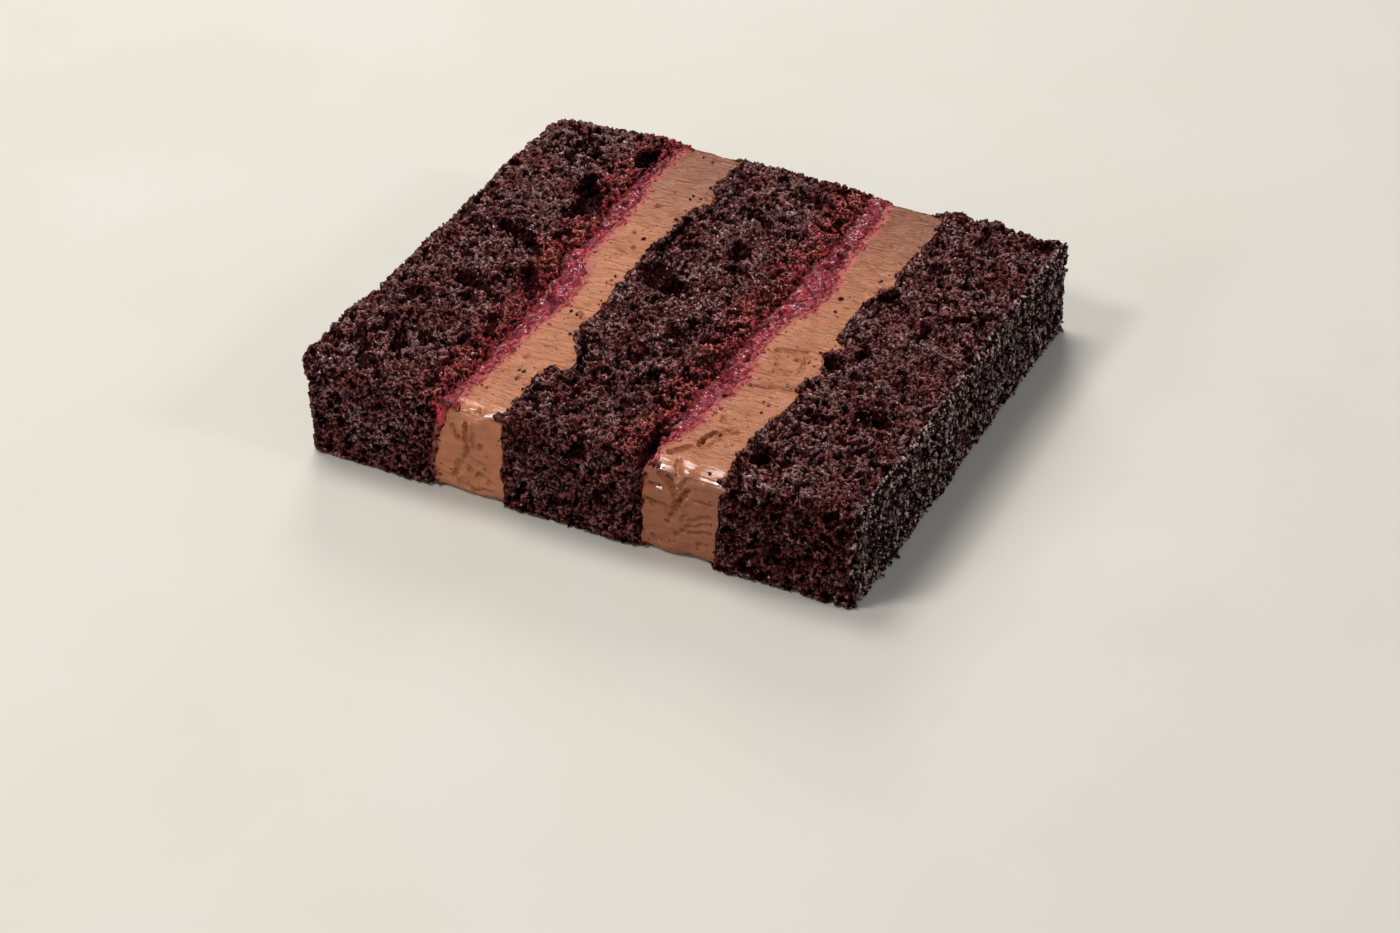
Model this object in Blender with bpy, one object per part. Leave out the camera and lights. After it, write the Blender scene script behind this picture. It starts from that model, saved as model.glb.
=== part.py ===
"""A slice of three-layer chocolate cake lying on its side, with a cut face up.

Going across the slice, from its left face to its right one, the layers are sponge, raspberry jam,
chocolate cream, sponge, jam, cream and sponge. Each is one closed solid, a fine grid of faces whose
side walls follow wavy seams. The outer faces carry the relief that a torn, crumbly cut has.
"""

from bisect import bisect_right
from functools import lru_cache
from math import exp, radians

import bmesh
import bpy
from mathutils import Matrix, Vector, noise

# Driving sizes, in millimetres. X goes across the layers, Y along them and Z up through the slice.
MM = 0.001
THICKNESS = 21.3
LENGTH = 100.5
FRONT = -50.4
GAP = 0.3

# The grid of faces on each layer, and the distance from each edge to its first row.
CELLS_ALONG = 31
CELLS_UP = 6
CELLS_ACROSS = {"sponge": 10, "cream": 4, "jam": 1}
RIM = 1.5
EDGE_RADIUS = 1.7
SHARP_ANGLE = 50

# Where each seam meets the upper face, as (distance along, distance across) from front to back.
LEFT_FACE = ((-50, -58.6), (-40, -59.3), (-20, -58.2), (0, -57.7), (30, -57.2), (50, -56.0))
RIGHT_FACE = ((-50, 58.5), (-15, 58.9), (20, 58.5), (50, 58.9))
CREAM_1_LEFT = (
    (-50, -25.2), (-30, -23.3), (-12, -21.4), (-1, -22.0), (7, -25.3), (22, -25.3), (38, -26.9), (50, -25.8),
)
CREAM_1_RIGHT = (
    (-50, -15.0), (-36, -16.0), (-28, -11.6), (-19, -15.8), (10, -16.1), (28, -15.0), (36, -13.0), (50, -14.0),
)
CREAM_2_LEFT = (
    (-50, 16.2), (-38, 18.8), (-28, 19.7), (-19, 21.5), (-6, 19.7), (6, 22.2), (15, 23.7), (30, 22.0), (50, 20.8),
)
CREAM_2_RIGHT = (
    (-50, 31.3), (-38, 29.6), (-22, 32.0), (-16, 30.6), (-8, 32.2), (8, 30.2), (22, 32.4), (40, 32.8), (50, 31.6),
)

# How far each seam has moved across where it meets the underside, at the front and at the back.
CREAM_1_LEFT_LEAN = (-4.0, -1.5)
CREAM_1_RIGHT_LEAN = (-0.5, -0.5)
CREAM_2_LEFT_LEAN = (-1.4, -1.0)
CREAM_2_RIGHT_LEAN = (-2.4, -1.0)
RIGHT_FACE_LEAN = (-0.9, -0.6)
LEFT_FACE_LEAN = (1.0, 0.6)

# The jam's width on the upper face, and the share of it that is left at the underside.
JAM_1_WIDTH = ((-50, 2.4), (-38, 3.2), (-20, 4.6), (-8, 6.7), (2, 5.6), (12, 2.9), (26, 5.2), (40, 2.5), (50, 2.2))
JAM_2_WIDTH = ((-50, 1.7), (-38, 3.4), (-20, 5.6), (-6, 4.2), (15, 7.6), (30, 5.0), (50, 5.0))
JAM_FOOT_SHARE = 0.35
JAM_LEAST = 1.0

# The ends of the slice, as (distance across, distance along) of the front and the back face.
FRONT_FACE = ((-60, -47.0), (-55, -49.9), (0, -50.4), (40, -50.5), (56, -50.5), (60, -49.6))
BACK_FACE = (
    (-60, 48.6), (-45, 50.3), (-31, 51.9), (-22, 51.3), (-10, 51.8), (8, 50.3), (20, 48.4), (29, 48.4),
    (34, 51.4), (38, 49.2), (42, 50.5), (48, 49.1), (60, 50.2),
)

# Hollows and lumps of the upper face, each a trough from one point to another: x, y, x, y, width, depth.
# A lump has a depth below nought.
SPONGE_1_HOLLOWS = (
    (-46, 8.0, -36, 3.0, 1.9, 2.2),
    (-43.5, -12.0, -43.5, -12.0, 2.8, 2.4),
    (-50, -21.0, -50, -21.0, 2.2, 1.8),
    (-47, -45.0, -47, -45.0, 2.4, 1.8),
    (-36, 27.0, -34, 18.0, 3.2, 2.8),
    (-31.5, 44.0, -31.5, 41.0, 2.4, 2.0),
    (-34, -4.0, -30, -10.5, 1.8, 1.8),
)
SPONGE_2_HOLLOWS = (
    (1, 20.5, 2, 17.5, 2.4, 2.4),
    (-10, 6.5, -7, 3.0, 3.8, 3.0),
    (3, 45.5, 8, 44.0, 2.6, -0.8),
    (-13.5, 25.0, -14, 15.0, 1.4, 1.6),
    (13.2, -37.0, 15, -50.0, 1.6, 2.4),
)
SPONGE_3_HOLLOWS = (
    (34, 16.5, 34, 16.5, 2.4, 2.0),
    (33.5, -9.0, 33.5, -9.0, 2.4, 2.0),
    (34.5, -41.0, 34.5, -41.0, 2.4, 1.6),
    (48, -22.0, 51, -22.0, 2.0, 1.4),
    (40.5, 48.0, 43, 49.0, 2.6, -0.6),
)

# The dark crack where the middle sponge has come away at the front: its width, and where it ends.
CRACK_WIDTH = 1.1
CRACK_BACK_END = -34.0
CRACK_LOW_END = 9.0

# The relief of a torn sponge and of a knife-smoothed cream: height and distance between crests.
RELIEF_HEIGHT = {"sponge": 0.75, "cream": 0.25, "jam": 0.45}
RELIEF_STEP = {"sponge": 5.5, "cream": 9.0, "jam": 5.0}
RELIEF_SINK = {"sponge": 0.05, "cream": 0.15, "jam": 0.35}
RAGGED_EDGE_HEIGHT = 0.9
RAGGED_EDGE_STEP = 4.6
RAGGED_EDGE_REACH = 6.0

# Each layer's colour in linear RGB, with its roughness.
FINISHES = {
    "sponge": ((0.028, 0.011, 0.009), 0.75),
    "cream": ((0.33, 0.16, 0.085), 0.45),
    "jam": ((0.20, 0.018, 0.035), 0.25),
}

# Name, kind of layer, and its hollows, in order across the slice.
LAYERS = (
    ("sponge_1", "sponge", SPONGE_1_HOLLOWS),
    ("jam_1", "jam", ()),
    ("cream_1", "cream", ()),
    ("sponge_2", "sponge", SPONGE_2_HOLLOWS),
    ("jam_2", "jam", ()),
    ("cream_2", "cream", ()),
    ("sponge_3", "sponge", SPONGE_3_HOLLOWS),
)
CRACKED_LAYER = "sponge_2"


@lru_cache(maxsize=None)
def slopes(keys):
    """Slope of the smooth line at each key: level at a crest, so that the line never overshoots one."""
    secants = [(b[1] - a[1]) / (b[0] - a[0]) for a, b in zip(keys, keys[1:])]
    inner = [2 * a * b / (a + b) if a * b > 0 else 0.0 for a, b in zip(secants, secants[1:])]
    return (secants[0], *inner, secants[-1])


def curve(keys, at):
    """Height at one place of a smooth line through the keys, which is level past its ends."""
    at = min(max(at, keys[0][0]), keys[-1][0])
    i = min(bisect_right([key[0] for key in keys], at) - 1, len(keys) - 2)
    run = keys[i + 1][0] - keys[i][0]
    t = (at - keys[i][0]) / run
    start = (1 + 2 * t) * (1 - t) ** 2 * keys[i][1] + t * (1 - t) ** 2 * run * slopes(keys)[i]
    end = t * t * (3 - 2 * t) * keys[i + 1][1] + t * t * (t - 1) * run * slopes(keys)[i + 1]
    return start + end


def ramp(value, low, high):
    """A smooth step from 0 at low to 1 at high."""
    t = min(max((value - low) / (high - low), 0.0), 1.0)
    return t * t * (3 - 2 * t)


def seam(keys, lean, y, z):
    """Place across the slice of a seam, which leans as it goes down through the thickness."""
    along = min(max((y - FRONT) / LENGTH, 0.0), 1.0)
    foot = lean[0] + (lean[1] - lean[0]) * along
    depth = 1 - min(max(z / THICKNESS, 0.0), 1.0) ** 2
    return curve(keys, y) + foot * depth


def jam_width(keys, y, z):
    """The jam thins towards the underside, where the layers were pressed together."""
    share = JAM_FOOT_SHARE + (1 - JAM_FOOT_SHARE) * min(max(z / THICKNESS, 0.0), 1.0)
    return max(curve(keys, y) * share, JAM_LEAST)


def walls(y, z):
    """Places across the slice of all eight walls at one point, from the left face to the right one."""
    cream_1 = seam(CREAM_1_LEFT, CREAM_1_LEFT_LEAN, y, z)
    cream_2 = seam(CREAM_2_LEFT, CREAM_2_LEFT_LEAN, y, z)
    return (
        seam(LEFT_FACE, LEFT_FACE_LEAN, y, z),
        cream_1 - jam_width(JAM_1_WIDTH, y, z),
        cream_1,
        seam(CREAM_1_RIGHT, CREAM_1_RIGHT_LEAN, y, z),
        cream_2 - jam_width(JAM_2_WIDTH, y, z),
        cream_2,
        seam(CREAM_2_RIGHT, CREAM_2_RIGHT_LEAN, y, z),
        seam(RIGHT_FACE, RIGHT_FACE_LEAN, y, z),
    )


def ladder(step, steps, length):
    """Place of a grid line along a length: the first and last cells are as wide as the rim."""
    if steps < 3:
        return length * step / steps
    if step in (0, steps):
        return length * step / steps
    rim = min(RIM, length / steps)
    return rim + (length - 2 * rim) * (step - 1) / (steps - 2)


def crack(name, y, z):
    """How far the middle sponge's right wall stands back at the front, where it has come away."""
    if name != CRACKED_LAYER:
        return 0.0
    return CRACK_WIDTH * ramp(-y, -CRACK_BACK_END, -FRONT) * ramp(z, CRACK_LOW_END, THICKNESS)


def across(number, step, steps, y, z):
    """Place across the slice of a grid line of one layer, with half of the gap left at each seam."""
    name = LAYERS[number][0]
    edges = walls(y, z)
    left = edges[number] + (GAP / 2 if number > 0 else 0)
    right = edges[number + 1] - (GAP / 2 if number < len(LAYERS) - 1 else 0) - crack(name, y, z)
    return left + ladder(step, steps, right - left)


def rounded(point):
    """The point moved in where it lies near an outer edge, so that the edge has a round of EDGE_RADIUS."""
    edges = walls(point.y, point.z)
    front = curve(FRONT_FACE, point.x)
    back = curve(BACK_FACE, point.x)
    low = Vector((edges[0], front, 0))
    high = Vector((edges[-1], back, THICKNESS))
    reach = Vector((0, 0, 0))
    for axis in range(3):
        below = low[axis] + EDGE_RADIUS - point[axis]
        above = point[axis] - (high[axis] - EDGE_RADIUS)
        reach[axis] = max(above, 0) - max(below, 0)
    if reach.length <= EDGE_RADIUS:
        return point
    return point + reach * (EDGE_RADIUS / reach.length - 1)


def trough(point, x0, y0, x1, y1, width, depth):
    """Depth at a point of a soft-edged trough between two places on the upper face."""
    start = Vector((x0, y0))
    run = Vector((x1, y1)) - start
    to_point = Vector((point.x, point.y)) - start
    share = min(max(to_point.dot(run) / run.length_squared, 0), 1) if run.length else 0
    distance = (to_point - run * share).length
    return depth * exp(-((distance / width) ** 2))


def relief(kind, hollows, point, facing):
    """How far a point of an outer face stands out, below nought where it is sunk."""
    coarse = noise.noise(point / RELIEF_STEP[kind])
    fine = noise.noise(point * 2.3 / RELIEF_STEP[kind] + Vector((7, 3, 5)))
    height = RELIEF_HEIGHT[kind] * (coarse + 0.5 * fine) - RELIEF_SINK[kind]
    if facing.z > 0.5:
        height -= sum(trough(point, *hollow) for hollow in hollows)
    right_back = Vector((RIGHT_FACE[-1][1], BACK_FACE[-1][1]))
    nearness = 1 - ramp((Vector((point.x, point.y)) - right_back).length, 0, RAGGED_EDGE_REACH)
    ragged = noise.noise(Vector((11, 2, point.z / RAGGED_EDGE_STEP)))
    return height + RAGGED_EDGE_HEIGHT * nearness * (ragged - 0.2)


def grid_box(cells):
    """A unit cube whose faces are cut into a grid with the given cells along X, Y and Z."""
    bm = bmesh.new()
    bmesh.ops.create_cube(bm, size=1.0)
    for axis, count in enumerate(cells):
        edges = [e for e in bm.edges if abs(e.verts[0].co[axis] - e.verts[1].co[axis]) > 0.5]
        if count > 1:
            bmesh.ops.subdivide_edges(bm, edges=edges, cuts=count - 1)
    return bm


def placed(number, kind, hollows, steps, cells):
    """The real place of one grid point of a layer, in millimetres."""
    last = len(LAYERS) - 1
    z = ladder(steps[2], cells[2], THICKNESS)
    share = ladder(steps[1], cells[1], LENGTH) / LENGTH
    x = across(number, steps[0], cells[0], FRONT + share * LENGTH, z)
    front = curve(FRONT_FACE, x)
    y = front + share * (curve(BACK_FACE, x) - front)
    x = across(number, steps[0], cells[0], y, z)

    square = Vector((x, y, z))
    soft = rounded(square)
    facing = Vector((
        (number == last and steps[0] == cells[0]) - (number == 0 and steps[0] == 0),
        (steps[1] == cells[1]) - (steps[1] == 0),
        float(steps[2] == cells[2]),
    ))
    on_underside = steps[2] == 0
    if not facing.length or on_underside:
        return Vector((across(number, steps[0], cells[0], soft.y, z) + soft.x - x, soft.y, soft.z))
    facing.normalize()
    lift = facing * relief(kind, hollows, soft, facing)
    new_y = soft.y + lift.y
    new_z = soft.z + lift.z
    new_x = across(number, steps[0], cells[0], new_y, new_z) + soft.x - x + lift.x
    return Vector((new_x, new_y, new_z))


def make_layer(number, name, kind, hollows):
    """One layer's mesh, in millimetres: a grid box whose points are moved to the layer's real form."""
    cells = (CELLS_ACROSS[kind], CELLS_ALONG, CELLS_UP)
    bm = grid_box(cells)
    for vertex in bm.verts:
        steps = [round((vertex.co[axis] + 0.5) * cells[axis]) for axis in range(3)]
        vertex.co = placed(number, kind, hollows, steps, cells)
    mesh = bpy.data.meshes.new(name)
    bm.to_mesh(mesh)
    bm.free()
    mesh.shade_smooth()
    mesh.set_sharp_from_angle(angle=radians(SHARP_ANGLE))
    return mesh


def settle(meshes):
    """Moves the slice so that its origin is in the middle of its underside, and brings it to metres."""
    points = [vertex.co for mesh in meshes for vertex in mesh.vertices]
    low = [min(point[axis] for point in points) for axis in range(3)]
    high = [max(point[axis] for point in points) for axis in range(3)]
    middle = Vector(((low[0] + high[0]) / 2, (low[1] + high[1]) / 2, low[2]))
    for mesh in meshes:
        mesh.transform(Matrix.Scale(MM, 4) @ Matrix.Translation(-middle))


def finish(kind):
    """The material of one kind of layer."""
    colour, roughness = FINISHES[kind]
    material = bpy.data.materials.new(kind)
    material.use_nodes = True
    shader = material.node_tree.nodes["Principled BSDF"]
    shader.inputs["Base Color"].default_value = (*colour, 1.0)
    shader.inputs["Roughness"].default_value = roughness
    shader.inputs["Metallic"].default_value = 0.0
    return material


def main():
    for thing in list(bpy.data.objects):
        bpy.data.objects.remove(thing)
    collection = bpy.data.collections.new("chocolate_raspberry_cake_slice")
    bpy.context.scene.collection.children.link(collection)
    materials = {kind: finish(kind) for kind in FINISHES}
    meshes = [make_layer(number, *layer) for number, layer in enumerate(LAYERS)]
    settle(meshes)
    for mesh, (name, kind, _) in zip(meshes, LAYERS):
        mesh.materials.append(materials[kind])
        collection.objects.link(bpy.data.objects.new(name, mesh))


main()
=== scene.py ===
"""The looks of a slice of chocolate raspberry cake that lies on its side with a cut face up.

Every layer of the frame is replaced by a finely cut slab of the same form: three layers of open dark
sponge, two bands of smoothed chocolate cream and two streaks of moist raspberry jam. Loose granules
lie on the sponge and the jam, and crumbs on the cream. X goes across the layers, Y along them and Z up.
"""

import math

import bmesh
import bpy
import numpy as np
from mathutils import Matrix, Vector


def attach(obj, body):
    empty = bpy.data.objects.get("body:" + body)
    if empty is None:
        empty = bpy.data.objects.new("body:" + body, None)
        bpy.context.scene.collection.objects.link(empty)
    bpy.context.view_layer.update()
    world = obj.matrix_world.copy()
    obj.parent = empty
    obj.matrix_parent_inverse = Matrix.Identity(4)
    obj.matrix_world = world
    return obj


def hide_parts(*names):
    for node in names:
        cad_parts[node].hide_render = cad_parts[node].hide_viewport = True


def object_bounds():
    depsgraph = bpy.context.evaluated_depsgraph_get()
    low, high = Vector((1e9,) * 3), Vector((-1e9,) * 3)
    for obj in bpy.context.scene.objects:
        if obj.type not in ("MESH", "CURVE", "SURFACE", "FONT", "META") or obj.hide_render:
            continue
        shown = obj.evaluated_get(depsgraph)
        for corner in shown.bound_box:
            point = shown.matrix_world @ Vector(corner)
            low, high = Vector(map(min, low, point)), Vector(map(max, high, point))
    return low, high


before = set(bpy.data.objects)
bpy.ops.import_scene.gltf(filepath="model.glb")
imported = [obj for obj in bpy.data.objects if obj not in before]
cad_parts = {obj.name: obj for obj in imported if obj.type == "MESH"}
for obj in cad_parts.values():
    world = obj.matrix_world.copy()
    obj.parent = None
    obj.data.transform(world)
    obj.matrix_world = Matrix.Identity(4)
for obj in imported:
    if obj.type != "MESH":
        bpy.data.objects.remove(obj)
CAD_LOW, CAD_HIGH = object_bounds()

# Sizes below are in millimetres unless a comment says otherwise.
MM = 0.001
# The least divisor, and the least weight that a vertex group holds.
TINY = 1e-9
LEAST_WEIGHT = 0.001
THICKNESS = 21.3
LENGTH = 100.5
FRONT = -50.4
EDGE_RADIUS = {"sponge": 0.9, "jam": 1.2, "cream": 2.4}
# The layers are numbered from 0 at the left face to this one at the right face.
LAST_NUMBER = 6
# The seams are measured from a point this far from the middle of the frame's box.
MEASURED_FROM = np.array((0.03, -0.66, 0.0))

# Where each seam meets the upper face, as (distance along, distance across) from front to back.
LEFT_FACE = (
    (-50, -58.4), (-44, -59.2), (-36, -59.3), (-33, -59.5), (-30, -58.6), (-20, -58.4), (-14, -57.9),
    (0, -57.7), (20, -57.4), (30, -57.2), (40, -56.8), (50, -56),
)
RIGHT_FACE = ((-50, 58.5), (-15, 58.9), (20, 58.5), (50, 58.9))
CREAM_1_LEFT = (
    (-50, -25.4), (-40, -23.8), (-30, -23.3), (-22, -22.8), (-12, -21.4), (-1, -22), (4, -25.3), (7, -25.5),
    (22, -25.3), (29, -25), (36, -27), (44, -26.6), (50, -25.8),
)
CREAM_1_RIGHT = (
    (-50, -15), (-40, -15.4), (-33.2, -16.2), (-31.6, -11.4), (-28, -10.9), (-24, -13.4), (-19, -15.8),
    (-10, -15.4), (0, -16.2), (10, -16.2), (20, -15.3), (30.5, -15), (32, -12.4), (36, -12.8), (39, -15),
    (50, -14),
)
CREAM_2_LEFT = (
    (-50, 16.2), (-45, 17), (-38, 19), (-28, 19.7), (-19, 21.5), (-14, 20.3), (-6, 19.7), (1, 20.5),
    (8, 23), (15, 23.7), (22, 22.6), (30, 22), (40, 21.7), (50, 20.8),
)
CREAM_2_RIGHT = (
    (-50, 31.3), (-45, 30), (-38, 29.6), (-30, 30.4), (-22, 32), (-17, 30.6), (-14.6, 31), (-13, 34.2),
    (-10, 32), (-4, 30.6), (-2, 33.6), (0, 30.6), (8, 30.2), (16, 30.8), (21, 33), (27, 32), (34, 32.4),
    (40, 33), (50, 31.6),
)

# How far each seam has moved across where it meets the underside, at the front and at the back.
LEFT_FACE_LEAN = (1.0, 0.6)
CREAM_1_LEFT_LEAN = (-4.0, -1.5)
CREAM_1_RIGHT_LEAN = (-0.5, -0.5)
CREAM_2_LEFT_LEAN = (-1.4, -1.0)
CREAM_2_RIGHT_LEAN = (-2.4, -1.0)
RIGHT_FACE_LEAN = (-0.9, -0.6)

# The jam's width on the upper face, and the share of it that is left at the underside.
JAM_1_WIDTH = (
    (-50, 3.4), (-46, 2.8), (-38, 3.2), (-20, 4.6), (-8, 6.7), (2, 5.6), (12, 2.9), (26, 5.2), (40, 2.5),
    (50, 2.2),
)
JAM_2_WIDTH = ((-50, 1.7), (-38, 3.4), (-20, 5.6), (-6, 4.2), (15, 7.6), (30, 5.0), (50, 5.0))
JAM_FOOT_SHARE = 0.35
# The jam is nowhere narrower than this.
JAM_LEAST = 1.0

# The ends of the slice, as (distance across, distance along) of the front and the back face.
FRONT_FACE = ((-60, -48.4), (-56, -50.0), (0, -50.4), (40, -50.5), (56, -50.5), (60, -49.8))
BACK_FACE = (
    (-60, 50.2), (-45, 51.3), (-31, 52.2), (-22, 52.2), (-10, 52.0), (8, 50.8), (20, 50.0), (30, 50.0),
    (35.5, 51.8), (39, 50.2), (42, 51.2), (48, 49.9), (60, 50.6),
)

# Hollows and lumps of the upper face, each a trough from one point to another: x, y, x, y, width, depth.
# A lump has a depth below nought.
SPONGE_1_HOLLOWS = (
    (-46, 8.2, -40, 5.8, 1.3, 2.6),
    (-40, 5.4, -35.8, 2.7, 0.9, 2.2),
    (-43.5, -12, -42.5, -12.4, 1.9, 3),
    (-50, -21, -50, -21, 1.4, 2.2),
    (-47, -45, -47, -45, 1.6, 2.2),
    (-37, 27, -33.6, 21, 2, 3.2),
    (-35, 19.5, -36, 17.5, 1.6, 2.6),
    (-31.6, 44.5, -31.8, 41, 1.5, 3),
    (-38.5, 31.5, -38, 29, 1.3, 2.2),
    (-34, -4, -29.4, -10.7, 1.1, 2.6),
    (-52, 7.2, -52, 7.2, 1.2, 1.6),
    (-48, 3.5, -48, 3.5, 1, 1.5),
)
SPONGE_2_HOLLOWS = (
    (0.4, 20.8, 2, 17.6, 1.4, 3),
    (-11, 6.5, -9, 3.4, 2.2, 3.2),
    (-8, 3.4, -5.2, 2.4, 1.8, 3),
    (-9.6, 16.6, -9.2, 16, 1.2, 2),
    (3, 45.5, 8, 44, 2.6, -0.8),
    (2.5, 43.2, 8.4, 42.2, 1.1, 1.8),
    (-13.4, 25, -13.8, 13, 0.8, 1.8),
    (4.4, -26, 4.4, -26, 1.1, 1.8),
    (-11.2, -24, -10.3, -28, 0.5, 3),
    (13.9, -39, 15, -52, 0.6, 2.4),
)
SPONGE_3_HOLLOWS = (
    (34, 16.6, 35, 16, 1.6, 2.8),
    (32.4, -8.4, 33.8, -9.2, 1.7, 2.8),
    (34.5, -42, 35, -40, 1.5, 2.6),
    (46.5, -22, 50.5, -22.2, 1.2, 2),
    (38, -3.5, 38, -3.5, 1.2, 1.8),
    (32, -17.5, 32.4, -17, 1.1, 1.8),
    (40.5, 48, 43, 49, 2.2, -0.6),
    (38.4, 29.8, 39.2, 29, 1.3, 1.8),
)

# Creases and pits that the knife left in the cream's upper face, in the same form as the hollows.
CREAM_1_MARKS = (
    (-24.4, -44.2, -17, -45.6, 0.35, 0.4),
    (-24, -46, -19.5, -46.8, 0.35, 0.4),
    (-22, -42.1, -21.9, -42.2, 0.4, 0.6),
    (-19.5, -48.7, -19.4, -48.8, 0.45, 0.6),
    (-18.2, -36.9, -18.1, -37, 0.35, 0.6),
    (-20.2, -29.9, -20.1, -30, 0.35, 0.6),
    (-18, -12.3, -17.9, -12.4, 0.35, 0.6),
    (-16.8, -13.6, -16.7, -13.7, 0.35, 0.6),
    (-21.5, 28.2, -21.4, 28.3, 0.5, 1),
    (-19, 12.6, -18.9, 12.7, 0.45, 0.8),
    (-24.5, -50, -20.5, -48.6, 0.5, -0.4),
)
CREAM_2_MARKS = (
    (23.3, -36.7, 22.2, -39.2, 0.5, 1),
    (22.2, -39.2, 22.4, -41.2, 0.5, 1),
    (24.2, -38.4, 23.4, -41, 0.9, -0.5),
    (21, -42.8, 18.5, -45.5, 0.6, 1),
    (20.8, -47.4, 22.2, -50.5, 0.4, 0.7),
    (23.1, -37.4, 26.3, -34.6, 0.4, 0.5),
    (24.4, -37, 27, -35.4, 0.4, 0.4),
    (22.7, -32, 23, -33.3, 0.4, 0.5),
    (22.6, -7.7, 27.2, -6.8, 0.8, 0.6),
    (28.5, -7.3, 29.5, -13.6, 0.5, 0.5),
    (27, -9.1, 27.1, -9.2, 0.45, 0.9),
    (24, -12, 24.1, -12.1, 0.35, 0.7),
    (20.8, -14.1, 20.9, -14.2, 0.35, 0.7),
    (24.4, -13.7, 27.6, -13.4, 0.35, 0.5),
    (24, -15, 27.2, -14.7, 0.35, 0.5),
    (22.6, -20.5, 26.3, -19.5, 0.4, 0.6),
    (26.3, -19.5, 30.8, -18.6, 0.4, 0.6),
    (20.8, -24.3, 20.9, -24.4, 0.45, 0.7),
)

# Creases, pits and lumps of the cream's front faces: x, z, x, z, width, depth.
CREAM_1_CREASES = (
    (-23.2, 18, -23.5, 12.6, 0.5, -0.5),
    (-21.5, 18.4, -21.7, 12.6, 0.5, -0.6),
    (-22.4, 18, -22.6, 13, 0.4, 0.5),
    (-25.6, 16.2, -24.6, 13, 0.4, 0.6),
    (-24.6, 13, -22.4, 12, 0.4, 0.6),
    (-19.7, 12.6, -19.8, 11.9, 0.4, 0.9),
    (-22.7, 11.2, -22.8, 9.8, 0.45, 0.9),
    (-23.2, 9, -20.6, 8.3, 0.4, 0.6),
    (-20.2, 8.2, -17.6, 6.6, 0.4, 0.6),
    (-24.2, 7.4, -25.8, 4, 0.6, 0.8),
    (-22.6, 6.4, -21.9, 6, 0.45, 0.7),
    (-20.6, 5.4, -19.7, 4.9, 0.5, 0.9),
    (-18.6, 4.6, -17.8, 3.6, 0.45, 0.6),
    (-25, 2.6, -22, 1.6, 0.5, 0.6),
    (-22, 1.6, -17.6, 2.4, 0.5, 0.5),
)
CREAM_2_CREASES = (
    (20, 19.4, 21.4, 16.2, 0.45, 0.8),
    (21.4, 16.2, 22.3, 17.2, 0.4, 0.6),
    (22.3, 17.2, 24.4, 20.8, 0.45, 0.8),
    (22.2, 19, 22.4, 18, 1.1, -0.8),
    (24.1, 17.2, 21.9, 13, 0.45, 1),
    (21.9, 13, 20.7, 9.4, 0.45, 0.9),
    (23.2, 13.6, 22, 9.6, 0.8, -0.4),
    (18.2, 19.4, 20.5, 17.2, 0.4, 0.7),
    (20.5, 17.2, 21.4, 14.2, 0.4, 0.7),
    (23.7, 14.8, 28.4, 14.6, 0.4, 0.7),
    (15.4, 11.9, 20.4, 10.7, 0.45, 0.9),
    (16.4, 16.2, 18.5, 15.9, 0.4, 0.7),
    (24.4, 9.4, 28.2, 11.6, 0.35, 0.5),
    (24, 8, 28.6, 9.9, 0.35, 0.5),
    (24.4, 6.6, 28.6, 8, 0.35, 0.5),
    (19.8, 8.2, 19.9, 8, 0.4, 0.6),
    (22.8, 7, 22.9, 6.9, 0.35, 0.6),
    (21.4, 5.4, 21.5, 5.3, 0.35, 0.6),
    (16.6, 3.8, 17.8, 3, 0.4, 0.6),
    (26, 4.4, 26.1, 4.2, 0.4, 0.6),
)

# The crack where the middle sponge has come away at the front: its width, its ends at the back and
# below, and the share of the jam beside it that is drawn back.
CRACK_WIDTH = 0.3
CRACK_BACK_END = -33.0
CRACK_LOW_END = 9.0
JAM_DRAWN_BACK = 0.8

# A slab's cells across, along and down, and the further cuts in those that show.
CELLS = {"sponge": (11, 38, 8), "jam": (3, 38, 8), "cream": (5, 38, 8)}
FINE_CUTS = {"sponge": 9, "jam": 8, "cream": 9}
# A point of a unit cube is on its near or its far side past these.
NEAR_SIDE = 0.001
FAR_SIDE = 0.999
# An edge or a direction counts as along an axis where this share of it is.
NEARLY_ALONG = 0.9

# A layer reaches this far past its seam into its neighbour, and its surface sinks by this much there.
LAP = {"sponge": 1.2, "jam": 1.3, "cream": 0.5}
LAP_SINK = {"sponge": 1.9, "jam": 1.9, "cream": 0.0}
# How far a layer's faces lie inside the outline; below nought is outside it.
SINK = {"sponge": -0.55, "jam": -0.2, "cream": 0.35}
# The surface stops showing between these shares of the lap, and between these heights.
LAP_FADE = (0.3, 0.9)
FOOT_FADE = (0.0, 0.4)
# The larger pores end between these distances past the seam.
SEAM_FADE = (-1.4, -0.2)
# Beside an outer face, which has no seam, every point counts as this far past one.
FAR_INSIDE = -1000.0

# How far a hollow's outline sways, and its two waves in radians per millimetre.
SWAY = {"sponge": 0.35, "jam": 0.35, "cream": 0.12}
SWAY_SLOW = 2.3
SWAY_FAST = 4.1
SWAY_FAST_SHARE = 0.5
# The creases of the front faces are this much deeper than their lists say.
CREASE_DEPTH = 1.15
# How far the cream sags at its upper front edge, and where along and up the sag begins.
SAG = 1.3
SAG_START = 46.0
SAG_FOOT = 11.0

# Each seam wanders by about this much, in waves of these lengths that tilt by up to this slope.
WANDER = 0.42
WANDER_LENGTHS = (1.1, 1.7, 2.6, 3.9, 6.1)
WANDER_TILT = 0.8

# How strong the large and the small features of the crumb are.
RELIEF = {"sponge": (1.0, 1.0), "jam": (0.5, 0.4)}
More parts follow.
